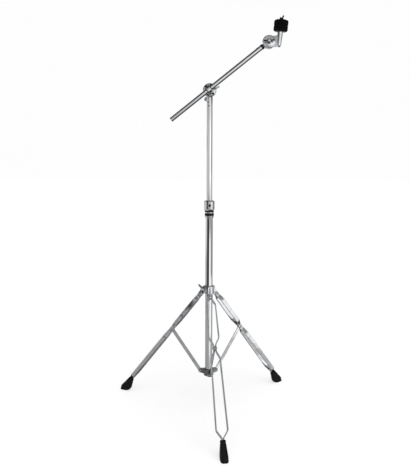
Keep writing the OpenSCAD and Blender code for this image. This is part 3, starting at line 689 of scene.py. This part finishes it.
# ---- floor, light, camera -------------------------------------------------------------------
bm = bmesh.new()
bmesh.ops.create_grid(bm, x_segments=8, y_segments=8, size=30.0)
floor_me = bpy.data.meshes.new("floor")
bm.to_mesh(floor_me)
bm.free()
floor = bpy.data.objects.new("floor", floor_me)
floor.location.z = -0.0005
bpy.context.scene.collection.objects.link(floor)
fm, nt, b = base_material("floor_paper")
v = coords(nt, (1, 1, 1))
nt.links.new(ramp(nt, noise_tex(nt, v, 30.0, 3.0), [(0.3, (0.395, 0.395, 0.395)), (0.7, (0.405, 0.405, 0.405))]), b.inputs["Base Color"])
b.inputs["Emission Color"].default_value = (1, 1, 1, 1)
b.inputs["Emission Strength"].default_value = 0.628
b.inputs["Roughness"].default_value = 1.0
b.inputs["Specular IOR Level"].default_value = 0.0
floor_me.materials.append(fm)
floor.visible_glossy = False

world = bpy.data.worlds.new("studio")
bpy.context.scene.world = world
world.use_nodes = True
nt = world.node_tree
nt.nodes.clear()
tc = nt.nodes.new("ShaderNodeTexCoord")
sep = nt.nodes.new("ShaderNodeSeparateXYZ")
nt.links.new(tc.outputs["Generated"], sep.inputs[0])


def math_node(op, a, b=None, c=None):
    n = nt.nodes.new("ShaderNodeMath")
    n.operation = op
    for k, x in enumerate((a, b, c)):
        if x is None:
            continue
        if isinstance(x, (int, float)):
            n.inputs[k].default_value = x
        else:
            nt.links.new(x, n.inputs[k])
    return n.outputs[0]


def mix_value(f, a, b):
    """a where f is 0, b where f is 1"""
    return math_node("MULTIPLY_ADD", f, math_node("SUBTRACT", b, a), a)


azim = math_node("MULTIPLY", math_node("ARCTAN2", sep.outputs["X"], math_node("MULTIPLY", sep.outputs["Y"], -1.0)), 180 / math.pi)
height = math_node("MULTIPLY", math_node("ARCSINE", sep.outputs["Z"]), 180 / math.pi)


def within(x, lo, hi, soft):
    """1 between lo and hi, falling to 0 over the soft distance on both sides"""
    n = nt.nodes.new("ShaderNodeMapRange")
    n.interpolation_type = "SMOOTHSTEP"
    dist = math_node("SUBTRACT", math_node("ABSOLUTE", math_node("SUBTRACT", x, (lo + hi) / 2)), (hi - lo) / 2)
    nt.links.new(dist, n.inputs["Value"])
    n.inputs["From Min"].default_value = 0.0
    n.inputs["From Max"].default_value = soft
    n.inputs["To Min"].default_value = 1.0
    n.inputs["To Max"].default_value = 0.0
    return n.outputs["Result"]


def panel(under, value, sides, heights, soft):
    """A soft-edged card over what is under it: degrees round the stand (0 in front, 90 its right) and degrees up"""
    f = math_node("MULTIPLY", within(azim, *sides, soft[0]), within(height, *heights, soft[1]))
    return mix_value(f, under, value)


env = math_node("ADD", 0.40, 0.0)
env = panel(env, 0.82, (150, 400), (-26, 14), (30, 10))      # back card, right
env = panel(env, 0.82, (-400, -150), (-6, 14), (26, 5))      # back card, left
env = panel(env, 0.20, (-400, 400), (22, 100), (1, 12))      # grey above
env = panel(env, 0.05, (-400, 400), (32, 100), (1, 10))      # dark overhead
env = panel(env, 0.45, (-40, 30), (50, 72), (20, 8))         # grey card overhead, in front
env = panel(env, 0.42, (-45, 40), (17, 31), (10, 4))
env = panel(env, 0.05, (-400, 400), (-100, -46), (1, 11))    # dark underneath
env = panel(env, 0.26, (-400, -34), (-100, -46), (12, 11))
env = panel(env, 0.03, (80, 175), (-100, -36), (25, 10))
env = panel(env, 0.04, (45, 130), (-80, -35), (12, 4))
env = panel(env, 0.70, (-160, -76), (-8.5, 0.5), (6, 2.5))   # low strip, left
env = panel(env, 0.60, (-80, -20), (-2.5, 4), (10, 1.8))
env = panel(env, 0.60, (-130, -50), (4, 10.5), (15, 1.5))
env = panel(env, 0.10, (-130, -45), (12.6, 26), (12, 1.2))
env = panel(env, 1.00, (0, 50), (-1.5, 8), (14, 4))          # tall soft box, front right
env = panel(env, 0.12, (42, 140), (7.5, 11.2), (8, 1.2))     # dark flag over the soft box
env = panel(env, 0.95, (-14, 18), (9, 11.9), (6, 1))
env = panel(env, 0.95, (17, 44), (11.5, 15), (6, 1.5))
env = panel(env, 0.50, (-12, 38), (37, 45), (8, 3))
env = panel(env, 1.10, (42, 70), (-4.8, -1.5), (8, 1.2))
env = panel(env, 1.50, (26, 46), (-1, 3.5), (11, 2.5))
env = panel(env, 0.60, (4, 46), (-32, -16), (14, 12))        # low fill under it
env = panel(env, 0.53, (58, 82), (-32, -20.5), (8, 2))
env = panel(env, 1.15, (6, 44), (-20, -9), (7, 2.5))
env = panel(env, 1.12, (40, 82), (-18.6, -13), (3, 1))
env = panel(env, 1.30, (60, 88), (-28, -22.6), (6, 1))
env = panel(env, 0.02, (-61, -9), (-14.4, -6), (5, 0.8))     # dark gap, front left
env = panel(env, 0.07, (89, 104), (-17, -7), (5, 4))         # dark edge, right
env = panel(env, 0.55, (-400, -34), (-75, -55), (12, 4))     # pale ground near the feet
bg = nt.nodes.new("ShaderNodeBackground")
nt.links.new(env, bg.inputs["Color"])
paper = nt.nodes.new("ShaderNodeBackground")
paper.inputs["Color"].default_value = (0.988, 0.988, 0.988, 1)
path = nt.nodes.new("ShaderNodeLightPath")
both = nt.nodes.new("ShaderNodeMixShader")
nt.links.new(path.outputs["Is Camera Ray"], both.inputs["Fac"])
nt.links.new(bg.outputs[0], both.inputs[1])
nt.links.new(paper.outputs[0], both.inputs[2])
out = nt.nodes.new("ShaderNodeOutputWorld")
nt.links.new(both.outputs[0], out.inputs["Surface"])

sun = bpy.data.lights.new("soft_top", "SUN")
sun.energy = 2.6
sun.angle = rad(70)
sun_ob = bpy.data.objects.new("soft_top", sun)
sun_ob.rotation_euler = (rad(18), rad(10), 0)
bpy.context.scene.collection.objects.link(sun_ob)
sun_ob.visible_glossy = False

cam = bpy.data.cameras.new("camera")
cam.sensor_width = 36.0
cam.sensor_fit = "AUTO"
cam.lens = 36.0 * 508.0 / 467.0
cam.clip_start, cam.clip_end = 0.05, 100.0
cam_ob = bpy.data.objects.new("camera", cam)
cam_ob.matrix_world = T(-0.01433, -1.7134, 0.84776) @ RX(90 - 7.652) @ RZ(0.165)
bpy.context.scene.collection.objects.link(cam_ob)
bpy.context.scene.camera = cam_ob
bpy.context.scene.view_settings.view_transform = "Standard"
bpy.context.scene.view_settings.look = "None"
